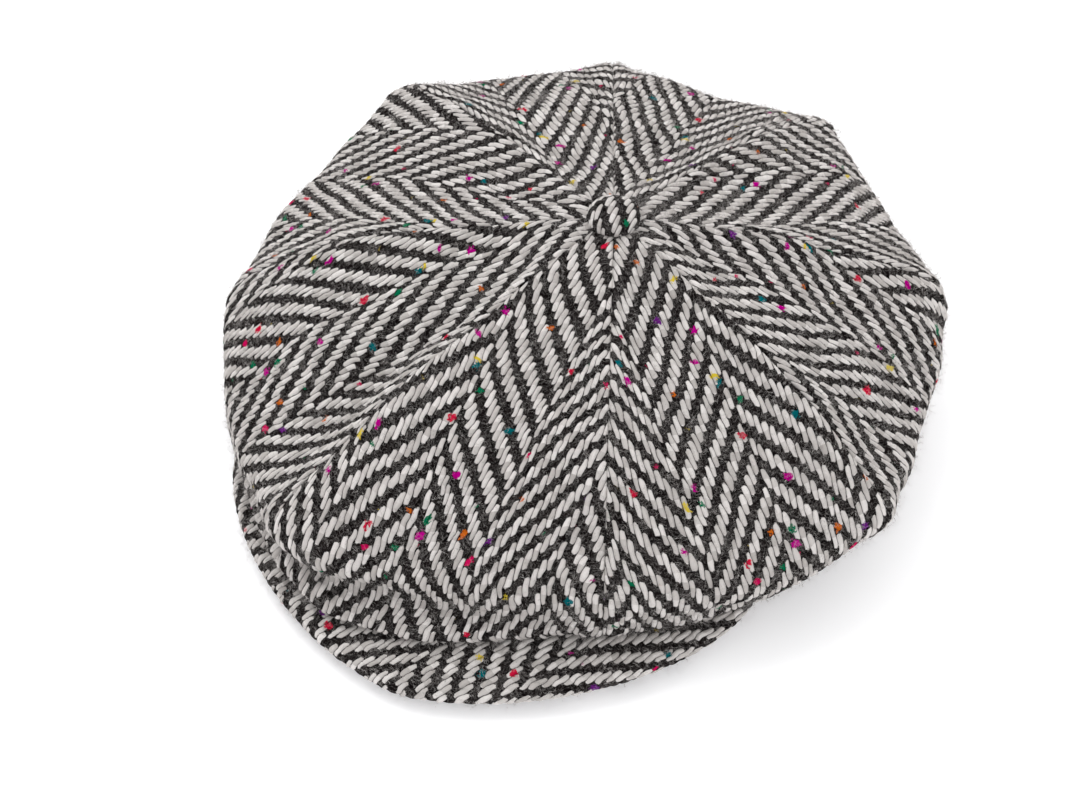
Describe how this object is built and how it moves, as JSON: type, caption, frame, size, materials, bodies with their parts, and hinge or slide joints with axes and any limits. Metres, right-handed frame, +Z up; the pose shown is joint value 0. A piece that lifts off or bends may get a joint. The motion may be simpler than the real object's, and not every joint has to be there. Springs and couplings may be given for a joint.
{
  "type": "newsboy cap",
  "caption": "Soft full-crowned cap with a panelled crown gathered under a covered button, an inner band and a short stiffened visor.",
  "frame": {"origin": "centre of the head opening, on the plane that the headband rests on", "axes": "+Z up through the crown, -Y towards the visor, +X towards the wearer's left"},
  "size_m": [0.2793, 0.3145, 0.0991],
  "materials": {
    "tweed": "black and white herringbone wool tweed with coloured flecks",
    "lining_satin": "quilted satin",
    "buckram": "stiffened open weave",
    "sweatband_cotton": "ribbed cotton tape",
    "board_plastic": "matte moulded sheet",
    "button_metal": "pressed sheet"
  },
  "bodies": {
    "root": {"crown_panel_front_left": "tweed", "crown_panel_side_left": "tweed", "crown_panel_back_left": "tweed", "crown_panel_back_centre": "tweed", "crown_panel_back_right": "tweed", "crown_panel_side_right": "tweed", "crown_panel_front_right": "tweed", "crown_panel_front_centre": "tweed", "lining_panel_front_left": "lining_satin", "lining_panel_side_left": "lining_satin", "lining_panel_back_left": "lining_satin", "lining_panel_back_centre": "lining_satin", "lining_panel_back_right": "lining_satin", "lining_panel_side_right": "lining_satin", "lining_panel_front_right": "lining_satin", "lining_panel_front_centre": "lining_satin", "headband": "tweed", "band_interlining": "buckram", "sweatband": "sweatband_cotton"},
    "visor": {"visor_board": "board_plastic", "visor_top_cover": "tweed", "visor_bottom_cover": "tweed"},
    "button": {"button_cover": "tweed", "button_shell": "button_metal", "button_back": "button_metal", "button_washer": "button_metal"}
  },
  "joints": [
    {"name": "visor_tilt", "type": "hinge", "parent": "root", "child": "visor", "pos_m": [0, -0.046, 0.013], "axis": [1, 0, 0], "range_deg": [0, 10], "stiffness_Nm_per_rad": 1.5},
    {"name": "button_turn", "type": "hinge", "parent": "root", "child": "button", "pos_m": [0.013, 0.018, 0.092], "axis": [0, 0, 1], "range_deg": [-30, 30]}
  ]
}
